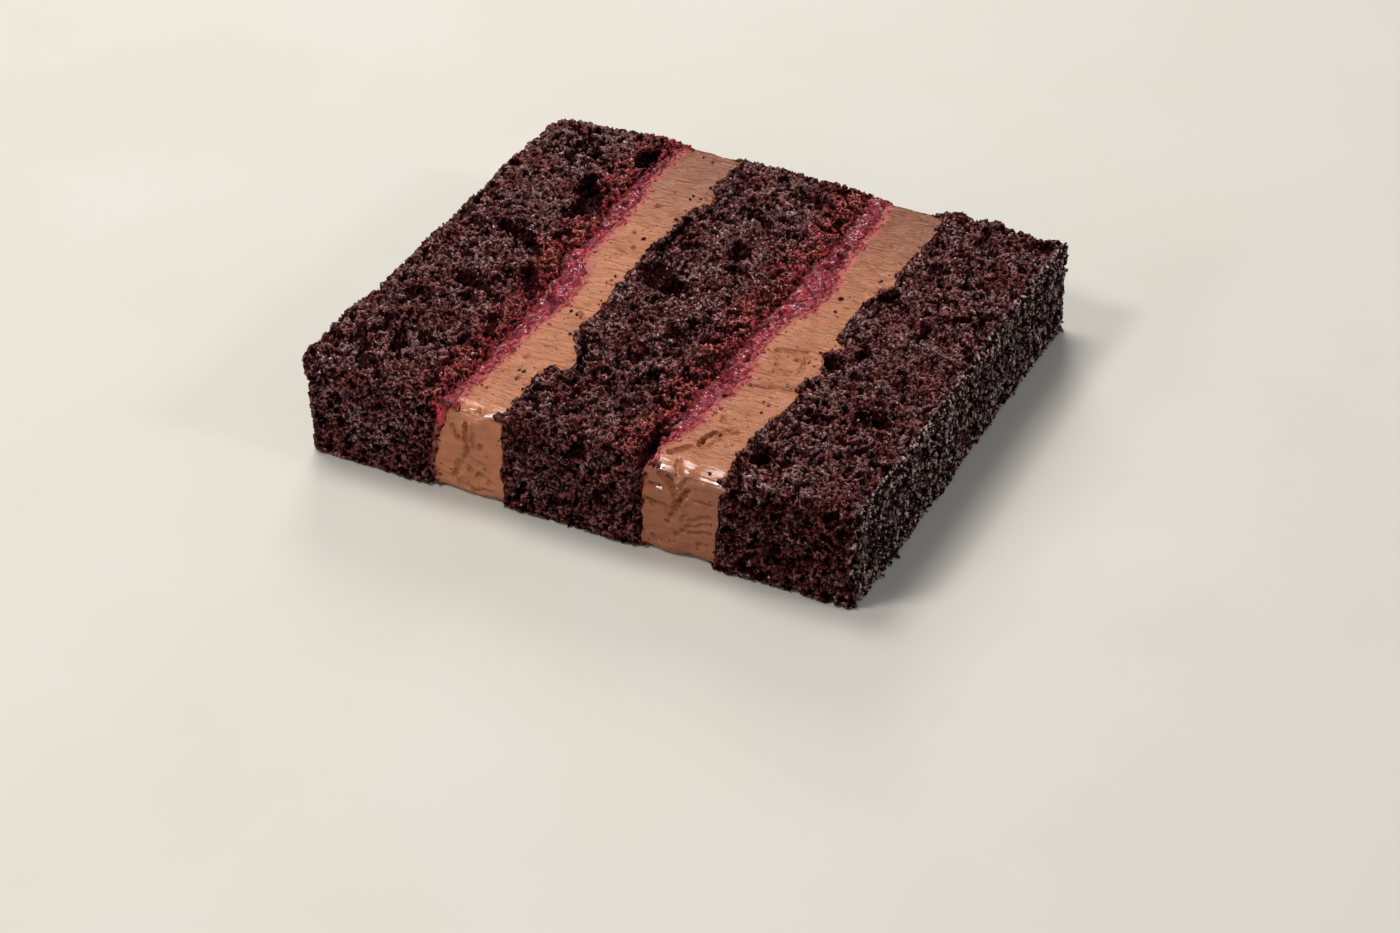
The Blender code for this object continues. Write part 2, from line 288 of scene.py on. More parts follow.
# How far the relief of the crumb may move a point inwards, outwards and aside.
MOST_IN = 2.4
MOST_OUT = 0.9
MOST_ASIDE = 0.5
# The share of a hollow's depth that counts towards the crumb's painted shade.
HOLLOW_SHARE = 0.6

# Grains of crumb: how many lie on a layer, their sizes across, and how the draw favours small ones.
GRAINS = {"sponge": 3000, "jam": 750}
GRAIN_SIZES = (0.2, 0.7)
SMALL_GRAINS = 0.5
# How far a grain's points are pushed in and out, how it is stretched, and by what share it is flattened.
GRAIN_LUMPS = (0.65, 1.15)
GRAIN_STRETCH = (0.6, 1.2)
GRAIN_FLATTENING = 0.3
# How far grains stray from the middle of their face, and how deep they seem to lie at most, for painted
# shade.
GRAIN_STRAY = 0.06
GRAIN_SUNK = 0.5
# How fast grains get rarer towards the depth of a pore.
HOLLOW_FADE = 2.0

# Crumbs on a band of cream: how many, how far they spread from their seam, to its left below nought,
# and their sizes.
SPONGE_CRUMBS = 56
SPONGE_CRUMB_SPREAD = -2.2
JAM_CRUMBS = 170
JAM_CRUMB_SPREAD = 0.5
CRUMB_SIZES = (0.2, 1.3)
# How likely a crumb is away from the seam, how stained the jam's crumbs are, and their first seed.
STRAY_CRUMBS = 0.002
JAM_CRUMB_STAIN = 0.9
CRUMB_SEED = 10
# Where along the slice, behind the front edge, crumbs begin.
CRUMBS_START = (-49.6, -48.6)

# The bright lump of jam at the front edge: its middle, its half sizes and where in them it fades.
BLOB_PLACE = (-28.4, -50.0, 17.8)
BLOB_SIZES = (2.6, 3.0, 3.0)
BLOB_FADE = (0.7, 1.0)
# The front face begins between these distances in front of the middle, and what lies below the upper
# edge begins between these heights with their signs turned.
FRONT_BAND = (48.6, 50.2)
BELOW_EDGE = (-19.5, -17.5)
# The jam stains the sponge from this far off its seam, and fully after this run towards it.
STAIN_REACH = 10.0
STAIN_RUN = 10.5
# The sponge gets painted shade across the front, paler crust streaks with painted sheen by the right face,
# and is tighter back and to the left.
FRONT_SHADE_ACROSS = (-40.0, 50.0)
SIDE_DEPTH = (-1.8, -0.6)
TIGHT_ALONG = (0.0, 40.0)
TIGHT_ACROSS = (-30.0, 30.0)
# The jam is pink this far from the cream, less so towards the back, and dry by the sponge and behind.
PINK_DEPTH = (-0.3, 3.2)
PALE_ALONG = (0.0, 25.0)
DRY_DEPTH = (-0.5, 2.6)
DRY_ALONG = (5.0, 28.0)
# The cream has juice in it this far from the jam, darkens towards the back, and is glossy along its
# upper front edge, in front of the middle and up by these distances.
JUICE_DEPTH = (-0.2, 2.0)
SHADE_ALONG = (8.0, 50.0)
RIM_ALONG = (46.0, 48.0)
RIM_UP = (13.0, 16.0)
# A surface is a front face by how much of its direction points ahead.
AHEAD_FACING = (0.3, 0.9)

# The camera's place, the point that it looks at, its tilt in degrees and its lens.
CAMERA_PLACE = (262.46, -514.09, 408.66)
CAMERA_AIM = (19.28, -35.39, 10.7)
CAMERA_ROLL = -0.986
CAMERA_LENS = 91.77
SENSOR_WIDTH = 36.0
# How near to the camera its view begins, in metres.
CLIP_START = 0.01

# Square soft lights, in metres and watts: name, place, the point that it looks at, size, power, colour.
WARM_WHITE = (1.0, 0.98, 0.96)
SOFTBOXES = (
    ("overhead", (-0.30, 0.15, 0.95), (0, 0, 0), 0.35, 5.1, (1.0, 0.97, 0.94)),
    ("back_left", (-0.45, 0.85, 0.55), (0, 0, 0), 0.4, 4.5, WARM_WHITE),
    ("front_top", (-0.42, -0.50, 0.85), (0, 0, 0), 0.22, 4.4, WARM_WHITE),
    ("front_left", (-0.36, -0.70, 0.35), (-0.03, -0.05, 0), 0.2, 0.9, WARM_WHITE),
    ("right_top", (0.80, 0.05, 0.55), (0, 0, 0), 0.15, 1.85, (0.95, 0.98, 1.0)),
)
FILL_COLOUR = (0.9, 0.92, 0.95, 1)
FILL_STRENGTH = 0.24
# The floor's side, in metres.
FLOOR_SIZE = 6.0

# Colours of the finishes, as shares of red, green and blue light.
FLOOR_GREY = (0.56, 0.53, 0.46)
FLOOR_PALE = (0.61, 0.59, 0.54)
# Painted shade in the sponge's pores and hollows.
SPONGE_PIT_SHADE = (0.022, 0.0006, 0.0004)
SPONGE_DARK = (0.105, 0.009, 0.006)
SPONGE_BROWN = (0.280, 0.098, 0.094)
SPONGE_RED = (0.440, 0.070, 0.048)
SPONGE_GREY = (0.385, 0.248, 0.238)
# Pale streaks of the right face's crust, partly painted sheen.
SIDE_GREY_AND_SHEEN = (0.720, 0.560, 0.510)
EMBER_DARK = (0.290, 0.050, 0.040)
EMBER_RED = (0.800, 0.205, 0.125)
EMBER_CRIMSON = (0.580, 0.095, 0.105)
# Painted shade in pores soaked with jam.
SOAKED_PIT_SHADE = (0.035, 0.003, 0.004)
STAIN_RED = (0.600, 0.056, 0.064)
STAIN_PURPLE = (0.400, 0.060, 0.092)
CREAM_LIGHT = (0.490, 0.174, 0.070)
CREAM_MIDDLE = (0.360, 0.120, 0.046)
CREAM_DARK = (0.210, 0.062, 0.022)
# Painted sheen on the cream's front faces.
CREAM_SHEEN = (0.400, 0.155, 0.100)
# Specks in the cream, and partly painted shade in its creases.
CREAM_SPECK_AND_SHADE = (0.130, 0.036, 0.012)
CREAM_PINK = (0.440, 0.090, 0.076)
# Painted shade in the jam's pores.
JAM_PORE_SHADE = (0.115, 0.008, 0.016)
JAM_RED = (0.480, 0.044, 0.062)
JAM_PURPLE = (0.320, 0.052, 0.082)
JAM_PINK = (0.640, 0.145, 0.148)
JAM_BLOB = (0.400, 0.006, 0.018)


def select_nothing():
    """Leaves edit mode and deselects every object."""
    if bpy.context.object and bpy.context.object.mode != "OBJECT":
        bpy.ops.object.mode_set(mode="OBJECT")
    bpy.ops.object.select_all(action="DESELECT")


def work_on(piece):
    """Makes one piece the only selected and the active object."""
    select_nothing()
    piece.select_set(True)
    bpy.context.view_layer.objects.active = piece


def read_numbers(items, name, kind=float):
    """One property of many items, a single number for each."""
    found = np.empty(len(items), kind)
    items.foreach_get(name, found)
    return found


def read_rows(items, name):
    """One property of many items, a row of x, y and z for each."""
    found = np.empty(len(items) * 3)
    items.foreach_get(name, found)
    return found.reshape(-1, 3)


def coordinates(piece):
    """The piece's points as rows of x, y and z, in metres."""
    return read_rows(piece.data.vertices, "co")


def set_coordinates(piece, points):
    """Moves the piece's points to new places, in metres."""
    piece.data.vertices.foreach_set("co", np.ascontiguousarray(points, float).ravel())
    piece.data.update()


def normals(piece):
    """The directions in which the piece's surface faces at each point."""
    return read_rows(piece.data.vertex_normals, "vector")


def set_attribute(piece, name, values):
    """Keeps one number for each point of the piece, for its material to read."""
    made = piece.data.attributes.new(name, "FLOAT", "POINT")
    made.data.foreach_set("value", np.ascontiguousarray(values, np.float32))


def fill_attributes(piece, level, *names):
    """Keeps one level for every point of the piece under each of the names."""
    for name in names:
        set_attribute(piece, name, np.full(len(piece.data.vertices), level))


def attribute(piece, name):
    """The numbers kept for the piece's points."""
    return read_numbers(piece.data.attributes[name].data, "value")


def mark(piece, name, weights):
    """A vertex group that holds each point with its own weight."""
    group = piece.vertex_groups.new(name=name)
    for index in np.flatnonzero(weights > LEAST_WEIGHT):
        group.add((int(index),), float(weights[index]), "REPLACE")


def ramp(values, low, high):
    """A smooth step from 0 at low to 1 at high."""
    t = np.clip((values - low) / (high - low), 0, 1)
    return t * t * (3 - 2 * t)


def curve(keys, at):
    """Heights at some places of a smooth line through the keys, which never overshoots one."""
    places, heights = np.array(keys, float).T
    secants = np.diff(heights) / np.diff(places)
    rising = secants[:-1] * secants[1:] > 0
    sums = np.where(rising, secants[:-1] + secants[1:], 1)
    inner = np.where(rising, 2 * secants[:-1] * secants[1:] / sums, 0)
    slopes = np.concatenate((secants[:1], inner, secants[-1:]))
    at = np.clip(at, places[0], places[-1])
    i = np.clip(np.searchsorted(places, at, side="right") - 1, 0, len(places) - 2)
    run = places[i + 1] - places[i]
    t = (at - places[i]) / run
    start = (1 + 2 * t) * (1 - t) ** 2 * heights[i] + t * (1 - t) ** 2 * run * slopes[i]
    end = t * t * (3 - 2 * t) * heights[i + 1] + t * t * (t - 1) * run * slopes[i + 1]
    return start + end


def seam(keys, lean, y, z):
    """Places across the slice of a seam, which leans as it goes down through the thickness."""
    along = np.clip((y - FRONT) / LENGTH, 0, 1)
    foot = lean[0] + (lean[1] - lean[0]) * along
    return curve(keys, y) + foot * (1 - np.clip(z / THICKNESS, 0, 1) ** 2)


def wander(y, z, seed):
    """A small irregular wander of a seam, as waves of several lengths with their own phases."""
    random = np.random.default_rng(seed)
    found = 0.0
    for length in WANDER_LENGTHS:
        phase = random.uniform(0, 2 * math.pi)
        tilt = random.uniform(-WANDER_TILT, WANDER_TILT)
        found = found + np.sin((y + tilt * z) * 2 * math.pi / length + phase) * length ** 0.5
    return WANDER * found / len(WANDER_LENGTHS)


def jam_width(keys, y, z):
    """The jam thins towards the underside, where the layers were pressed together."""
    share = JAM_FOOT_SHARE + (1 - JAM_FOOT_SHARE) * np.clip(z / THICKNESS, 0, 1)
    return np.maximum(curve(keys, y) * share, JAM_LEAST)


def walls(y, z):
    """Places across the slice of all eight walls, from the left face to the right one."""
    cream_1 = seam(CREAM_1_LEFT, CREAM_1_LEFT_LEAN, y, z) + wander(y, z, 1)
    cream_2 = seam(CREAM_2_LEFT, CREAM_2_LEFT_LEAN, y, z) + wander(y, z, 2)
    return (
        seam(LEFT_FACE, LEFT_FACE_LEAN, y, z),
        cream_1 - jam_width(JAM_1_WIDTH, y, z) + wander(y, z, 3),
        cream_1,
        seam(CREAM_1_RIGHT, CREAM_1_RIGHT_LEAN, y, z) + wander(y, z, 4),
        cream_2 - jam_width(JAM_2_WIDTH, y, z) + wander(y, z, 5),
        cream_2,
        seam(CREAM_2_RIGHT, CREAM_2_RIGHT_LEAN, y, z) + wander(y, z, 6),
        seam(RIGHT_FACE, RIGHT_FACE_LEAN, y, z),
    )


def crack(y, z):
    """How open the crack is at a point, from 0 to 1."""
    return ramp(-y, -CRACK_BACK_END, -FRONT) * ramp(z, CRACK_LOW_END, THICKNESS)


class Layer:
    """One layer of the slice: its name, its kind, its place in the stack, its hollows and its creases."""

    def __init__(self, number, name, kind, hollows=(), creases=()):
        self.number = number
        self.name = name
        self.kind = kind
        self.hollows = hollows
        self.creases = creases
        self.first = number == 0
        self.last = number == LAST_NUMBER

    def edges(self, y, z):
        """The layer's two walls, each reaching a little way into its neighbour."""
        found = walls(y, z)
        left = found[self.number] - (0 if self.first else LAP[self.kind])
        right = found[self.number + 1] + (0 if self.last else LAP[self.kind])
        if self.name == "sponge_2":
            right = right - (CRACK_WIDTH + LAP["sponge"]) * crack(y, z)
        if self.name == "jam_2":
            left = left + (right - left) * JAM_DRAWN_BACK * crack(y, z)
        return left, right

    def past_seam(self, x, y, z):
        """How far a point lies past the layer's seam, into its neighbour; below nought inside the layer."""
        found = walls(y, z)
        left = FAR_INSIDE if self.first else found[self.number] - x
        right = FAR_INSIDE if self.last else x - found[self.number + 1]
        return np.maximum(left, right)


LAYERS = (
    Layer(0, "sponge_1", "sponge", SPONGE_1_HOLLOWS),
    Layer(1, "jam_1", "jam"),
    Layer(2, "cream_1", "cream", CREAM_1_MARKS, CREAM_1_CREASES),
    Layer(3, "sponge_2", "sponge", SPONGE_2_HOLLOWS),
    Layer(4, "jam_2", "jam"),
    Layer(5, "cream_2", "cream", CREAM_2_MARKS, CREAM_2_CREASES),
    Layer(6, "sponge_3", "sponge", SPONGE_3_HOLLOWS),
)


def pick(kind, wanted):
    """Selects, in edit mode, the edges or the faces that are wanted."""
    bpy.ops.mesh.select_mode(type=kind)
    bpy.ops.mesh.select_all(action="DESELECT")
    cage = bmesh.from_edit_mesh(bpy.context.object.data)
    for element in cage.edges if kind == "EDGE" else cage.faces:
        element.select_set(wanted(element))
    bmesh.update_edit_mesh(bpy.context.object.data)


def runs_along(edge, axis):
    """Whether an edge runs along one axis."""
    run = edge.verts[0].co - edge.verts[1].co
    return abs(run[axis]) > NEARLY_ALONG * run.length


def looks_along(face, directions):
    """Whether a face looks in any of the directions."""
    return any(face.normal.dot(direction) > NEARLY_ALONG for direction in directions)


def cut_slab(layer):
    """A cube cut into the cells of the layer's kind, and cut finer on the faces of it that show."""
    select_nothing()
    bpy.ops.mesh.primitive_cube_add(size=1)
    piece = bpy.context.object
    piece.name = layer.name + "_crumb" if layer.kind == "sponge" else layer.name + "_layer"
    bpy.ops.object.mode_set(mode="EDIT")
    for axis in range(3):
        pick("EDGE", lambda edge: runs_along(edge, axis))
        bpy.ops.mesh.subdivide(number_cuts=CELLS[layer.kind][axis] - 1)
    showing = [Vector((0, 0, 1)), Vector((0, -1, 0)), Vector((0, 1, 0))]
    if layer.first:
        showing.append(Vector((-1, 0, 0)))
    if layer.last:
        showing.append(Vector((1, 0, 0)))
    pick("FACE", lambda face: looks_along(face, showing))
    bpy.ops.mesh.subdivide(number_cuts=FINE_CUTS[layer.kind])
    bpy.ops.object.mode_set(mode="OBJECT")
    return piece


def rounded(points, radius):
    """The points moved in where they lie near an outer edge, so that each edge is round."""
    edges = walls(points[:, 1], points[:, 2])
    low = np.stack((edges[0], curve(FRONT_FACE, points[:, 0]), np.zeros(len(points))), axis=1)
    high = np.stack((edges[-1], curve(BACK_FACE, points[:, 0]), np.full(len(points), THICKNESS)), axis=1)
    below = np.maximum(low + radius - points, 0)
    above = np.maximum(points - high + radius, 0)
    reach = above - below
    length = np.linalg.norm(reach, axis=1)
    shrink = np.where(length > radius, radius / np.maximum(length, radius) - 1, 0)
    return points + reach * shrink[:, None]


def swayed(points, reach):
    """The points moved a little to and fro, so that no hollow has an even outline."""
    slow = np.sin(points[:, (1, 2, 0)] * SWAY_SLOW)
    fast = np.sin(points[:, (2, 0, 1)] * SWAY_FAST)
    return points + reach * (slow + SWAY_FAST_SHARE * fast)


def trough(places, start_a, start_b, end_a, end_b, width, depth, steepness=4):
    """Depths at places in a plane of a trough from a start to an end; the steeper, the flatter its bed."""
    start = np.array((start_a, start_b), float)
    run = np.array((end_a, end_b), float) - start
    away = places - start
    share = np.clip(away @ run / max(run @ run, TINY), 0, 1)
    distance = np.linalg.norm(away - share[:, None] * run, axis=1)
    return depth * np.exp(-(distance / width) ** steepness)


def place_in_layer(cube, layer):
    """Where each point of a unit cube lies in the layer, with the slice's outer edges rounded."""
    z = cube[:, 2] * THICKNESS
    y = FRONT + cube[:, 1] * LENGTH
    # Walls and ends depend on each other, so the second round starts from the first one's ends.
    for _ in range(2):
        left, right = layer.edges(y, z)
        x = left + cube[:, 0] * (right - left)
        front = curve(FRONT_FACE, x)
        y = front + cube[:, 1] * (curve(BACK_FACE, x) - front)
    return rounded(np.stack((x, y, z), axis=1), EDGE_RADIUS[layer.kind])


def outward(cube, layer):
    """Which way the slice's outside lies from each point of a unit cube, and nought inside and below."""
    found = np.stack((
        (cube[:, 0] > FAR_SIDE) * float(layer.last) - (cube[:, 0] < NEAR_SIDE) * float(layer.first),
        (cube[:, 1] > FAR_SIDE) * 1.0 - (cube[:, 1] < NEAR_SIDE) * 1.0,
        (cube[:, 2] > FAR_SIDE) * 1.0,
    ), axis=1)
    return found / np.maximum(np.linalg.norm(found, axis=1), 1)[:, None]


def hollow_depths(cube, points, layer):
    """How deep each point lies in the layer's hollows and creases."""
    places = swayed(points, SWAY[layer.kind])
    depths = np.zeros(len(points))
    for hollow in layer.hollows:
        depths += (cube[:, 2] > FAR_SIDE) * trough(places[:, :2], *hollow)
    for crease in layer.creases:
        depths += CREASE_DEPTH * (cube[:, 1] < NEAR_SIDE) * trough(places[:, (0, 2)], *crease, steepness=2)
    return depths


def shape_slab(piece, layer):
    """Moves the points of a unit slab to the layer's form, with its hollows, and marks what shows."""
    cube = coordinates(piece) + 0.5
    points = place_in_layer(cube, layer)
    facing = outward(cube, layer)
    hollowed = hollow_depths(cube, points, layer)
    lap = LAP[layer.kind]
    past = layer.past_seam(points[:, 0], points[:, 1], points[:, 2])
    sink = LAP_SINK[layer.kind] * ramp(past, -lap, lap)
    points = points - facing * (sink + hollowed + SINK[layer.kind])[:, None]
    if layer.kind == "cream":
        sag = SAG * ramp(-points[:, 1], SAG_START, -FRONT) * ramp(points[:, 2], SAG_FOOT, THICKNESS)
        points[:, 2] -= sag
    set_coordinates(piece, (points + MEASURED_FROM) * MM)
    shown = np.linalg.norm(facing, axis=1) * (1 - ramp(past, LAP_FADE[0] * lap, LAP_FADE[1] * lap))
    shown = shown * ramp(points[:, 2], *FOOT_FADE)
    set_attribute(piece, "hollowed", hollowed)
    set_attribute(piece, "shown", shown)
    mark(piece, "open", shown)
    mark(piece, "flank", shown * (cube[:, 0] > FAR_SIDE) * float(layer.last))
    mark(piece, "deep", shown * (1 - ramp(past, *SEAM_FADE)))


def displace(
    piece, group, size, height, middle,
    steps=None, stretch=(1, 1, 1), turn=0.0, noise_depth=1, noise_type="SOFT_NOISE",
):
    """Raises and sinks a piece's surface by clouds whose features have the given size.

    With steps, the pattern is nought below the first and one above the second."""
    texture = bpy.data.textures.new("relief", "CLOUDS")
    texture.noise_scale = 1.0
    texture.noise_depth = noise_depth
    texture.noise_type = noise_type
    if steps:
        texture.use_color_ramp = True
        for element, place, level in zip(texture.color_ramp.elements, steps, (0.0, 1.0)):
            element.position = place
            element.color = (level, level, level, 1.0)
    guide = bpy.data.objects.new("guide", None)
    bpy.context.scene.collection.objects.link(guide)
    guide.scale = Vector(stretch) * size * MM
    guide.rotation_euler = (0, 0, math.radians(turn))
    bpy.context.view_layer.update()
    work_on(piece)
    modifier = piece.modifiers.new("relief", "DISPLACE")
    modifier.texture = texture
    modifier.texture_coords = "OBJECT"
    modifier.texture_coords_object = guide
    modifier.strength = height * MM
    modifier.mid_level = middle
    modifier.vertex_group = group
    bpy.ops.object.modifier_apply(modifier=modifier.name)
    bpy.data.objects.remove(guide)
    bpy.data.textures.remove(texture)


def hold(piece, start, outer):
    """Limits how far each point has moved in, out and aside from its start."""
    move = coordinates(piece) - start
    out = (move * outer).sum(axis=1)
    aside = move - out[:, None] * outer
    length = np.maximum(np.linalg.norm(aside, axis=1), TINY)
    aside *= np.minimum(MOST_ASIDE * MM / length, 1)[:, None]
    out = np.clip(out, -MOST_IN * MM, MOST_OUT * MM)
    set_coordinates(piece, start + aside + out[:, None] * outer)


def crumble(piece, coarse, fine):
    """Gives a piece the open relief of torn sponge, and keeps how deep each point lies in a pore.

    Coarse and fine are shares of the full height of the large and of the small features."""
    start = coordinates(piece)
    outer = normals(piece)
    # Broad swells with ragged ridges on them.
    displace(piece, "open", size=6.0, height=1.0 * coarse, middle=0.58)
    ridges = {"noise_depth": 2, "noise_type": "HARD_NOISE"}
    displace(piece, "open", size=2.2, height=0.7 * coarse, middle=0.60, **ridges)
    before = coordinates(piece)
    # Pores of four sizes, the last ones only on the right face.
    displace(piece, "deep", size=3.4, height=2.2 * coarse, middle=1.0, steps=(0.25, 0.31))
    displace(piece, "deep", size=1.6, height=1.5 * coarse, middle=1.0, steps=(0.30, 0.36))
    displace(piece, "open", size=0.8, height=0.9 * fine, middle=1.0, steps=(0.34, 0.52))
    displace(piece, "flank", size=0.8, height=1.3, middle=1.0, steps=(0.34, 0.48), stretch=(1, 1, 2.4))
    hold(piece, start, outer)
    sunk = ((before - coordinates(piece)) * outer).sum(axis=1) / MM
    # Granules.
    displace(piece, "open", size=0.6, height=0.45 * fine, middle=0.6)
    hold(piece, start, outer)
    set_attribute(piece, "sunk", sunk + HOLLOW_SHARE * attribute(piece, "hollowed"))


def draw_out(piece):
    """Gives a band of cream soft swells, and on its cut faces the ridges that the knife drew across it."""
    displace(piece, "open", size=7.0, height=0.9, middle=0.62)
    displace(piece, "cut", size=2.4, height=0.6, middle=0.6, stretch=(3.0, 1.0, 2.0), turn=-12.0)
    displace(piece, "cut", size=0.8, height=0.45, middle=0.6, stretch=(6.0, 1.1, 2.0), turn=-8.0)


def open_faces(host):
    """The middles and directions of a piece's faces, and how much of each lies open and out of pores."""
    faces = host.data.polygons
    middles = read_rows(faces, "center")
    facing = read_rows(faces, "normal")
    firsts = read_numbers(faces, "loop_start", int)
    corners = read_numbers(host.data.loops, "vertex_index", int)[firsts]
    shown = attribute(host, "shown")[corners]
    sunk = attribute(host, "sunk")[corners]
    return middles, facing, read_numbers(faces, "area") * shown * np.exp(-HOLLOW_FADE * sunk)


def scatter(name, host, count, sizes, seed, likely=None):
    """Small irregular grains half sunk in a piece's open faces, joined as one mesh.

    Likely gives each face's weight in the draw from the rows of its middles."""
    random = np.random.default_rng(seed)
    middles, facing, weights = open_faces(host)
    if likely:
        weights = weights * likely(middles / MM)
    chosen = random.choice(len(weights), count, p=weights / weights.sum())
    across = sizes[0] + (sizes[1] - sizes[0]) * random.power(SMALL_GRAINS, count)

    select_nothing()
    bpy.ops.mesh.primitive_ico_sphere_add(subdivisions=1, radius=0.5)
    piece = bpy.context.object
    piece.name = name
    ball = coordinates(piece)
    triangles = np.array([face.vertices[:] for face in piece.data.polygons])

    # Each grain is the ball with its points pushed in and out, stretched, turned and flattened.
    lumps = ball * random.uniform(*GRAIN_LUMPS, (count, len(ball), 1))
    turns = np.linalg.qr(random.normal(size=(count, 3, 3)))[0]
    lumps = np.einsum("nij,nvj->nvi", turns, lumps * random.uniform(*GRAIN_STRETCH, (count, 1, 3)))
    flat = (lumps * facing[chosen][:, None]).sum(axis=2, keepdims=True)
    lumps = lumps - GRAIN_FLATTENING * flat * facing[chosen][:, None]
    places = middles[chosen] + random.normal(scale=GRAIN_STRAY * MM, size=(count, 3))
    points = places[:, None] + lumps * across[:, None, None] * MM

    # A turn that mirrors would leave a grain inside out, so its triangles run the other way round.
    indices = triangles[None] + (np.arange(count) * len(ball))[:, None, None]
    mirrored = np.linalg.det(turns) < 0
    indices[mirrored] = indices[mirrored][:, :, ::-1]
    piece.data.clear_geometry()
    piece.data.from_pydata(points.reshape(-1, 3), [], indices.reshape(-1, 3))
    piece.data.update()
    set_attribute(piece, "sunk", np.repeat(random.uniform(0.0, GRAIN_SUNK, count), len(ball)))
    return piece


class Value:
    """A socket of a material. Sums, differences and products of it add Math nodes."""

    def __init__(self, paint, socket):
        self.paint = paint
        self.socket = socket

    def maths(self, operation, first, second):
        return self.paint.node("ShaderNodeMath", {"operation": operation}, {0: first, 1: second})

    def __add__(self, other):
        return self.maths("ADD", self, other)

    __radd__ = __add__

    def __mul__(self, other):
        return self.maths("MULTIPLY", self, other)

    __rmul__ = __mul__

    def __sub__(self, other):
        return self.maths("SUBTRACT", self, other)

    def __rsub__(self, other):
        return self.maths("SUBTRACT", other, self)

    def most(self, other):
        return self.maths("MAXIMUM", self, other)

    def between(self, low, high, start=0.0, end=1.0):
        """A smooth step from start, where this is low, to end, where it is high."""
        settings = {"interpolation_type": "SMOOTHSTEP"}
        inputs = {"Value": self, "From Min": low, "From Max": high, "To Min": start, "To Max": end}
        return self.paint.node("ShaderNodeMapRange", settings, inputs)


class Paint:
    """A material under construction."""

    def __init__(self, name, **constants):
        self.material = bpy.data.materials.new(name)
        self.material.use_nodes = True
        self.tree = self.material.node_tree
        self.shader = self.tree.nodes["Principled BSDF"]
        self.feed(**constants)
        self.places = self.node("ShaderNodeTexCoord", output="Object")

    def node(self, kind, settings=None, inputs=None, output=0):
        """Adds a node, with its settings made first and its sockets then set or linked."""
        made = self.tree.nodes.new(kind)
        for key, value in (settings or {}).items():
            setattr(made, key, value)
        for key, value in (inputs or {}).items():
            self.plug(made.inputs[key], value)
        return Value(self, made.outputs[output])

    def plug(self, socket, value):
        """Links a value to a socket, or sets the socket to a number or a colour."""
        if isinstance(value, Value):
            self.tree.links.new(value.socket, socket)
        elif socket.type == "RGBA" and len(value) == 3:
            socket.default_value = (*value, 1.0)
        else:
            socket.default_value = value

    def feed(self, **inputs):
        """Links or sets the shader's own sockets."""
        for key, value in inputs.items():
            self.plug(self.shader.inputs[key.replace("_", " ")], value)

    def attribute(self, name):
        """A number that is kept on the piece's points."""
        return self.node("ShaderNodeAttribute", {"attribute_name": name}, output="Fac")

    def stretched(self, scale, turn=0.0):
        """The piece's places, turned about Z and scaled, for a pattern that has a grain."""
        inputs = {"Vector": self.places, "Scale": scale, "Rotation": (0, 0, math.radians(turn))}
        return self.node("ShaderNodeMapping", None, inputs)

    def warped(self, size, reach):
        """The piece's places, moved by soft noise of this size through this reach, both in millimetres."""
        drift = self.noise(size, 3.0, 0.6, output="Color")
        inputs = {0: drift, 1: (reach * MM, reach * MM, reach * MM), 2: self.places}
        return self.node("ShaderNodeVectorMath", {"operation": "MULTIPLY_ADD"}, inputs)

    def noise(self, size, detail=2.0, roughness=0.5, at=None, output=0):
        """Soft noise whose features are size millimetres across."""
        inputs = {"Vector": at or self.places, "Scale": 1 / (size * MM)}
        inputs.update({"Detail": detail, "Roughness": roughness})
        return self.node("ShaderNodeTexNoise", None, inputs, output)

    def cells(self, size, feature="F1", output="Distance", at=None):
        """Cells size millimetres across: the distance to a middle or a wall, or each one's own colour."""
        inputs = {"Vector": at or self.places, "Scale": 1 / (size * MM)}
        return self.node("ShaderNodeTexVoronoi", {"feature": feature}, inputs, output)

    def mix(self, share, first, second):
        """A colour between two, by share."""
        settings = {"data_type": "RGBA"}
        return self.node("ShaderNodeMix", settings, {0: share, 6: first, 7: second}, 2)

    def bump(self, height, depth, strength=1.0, over=None):
        """Relief from a height, depth millimetres deep, on top of another normal if there is one."""
        inputs = {"Height": height, "Distance": depth * MM, "Strength": strength}
        if over:
            inputs["Normal"] = over
        return self.node("ShaderNodeBump", None, inputs)


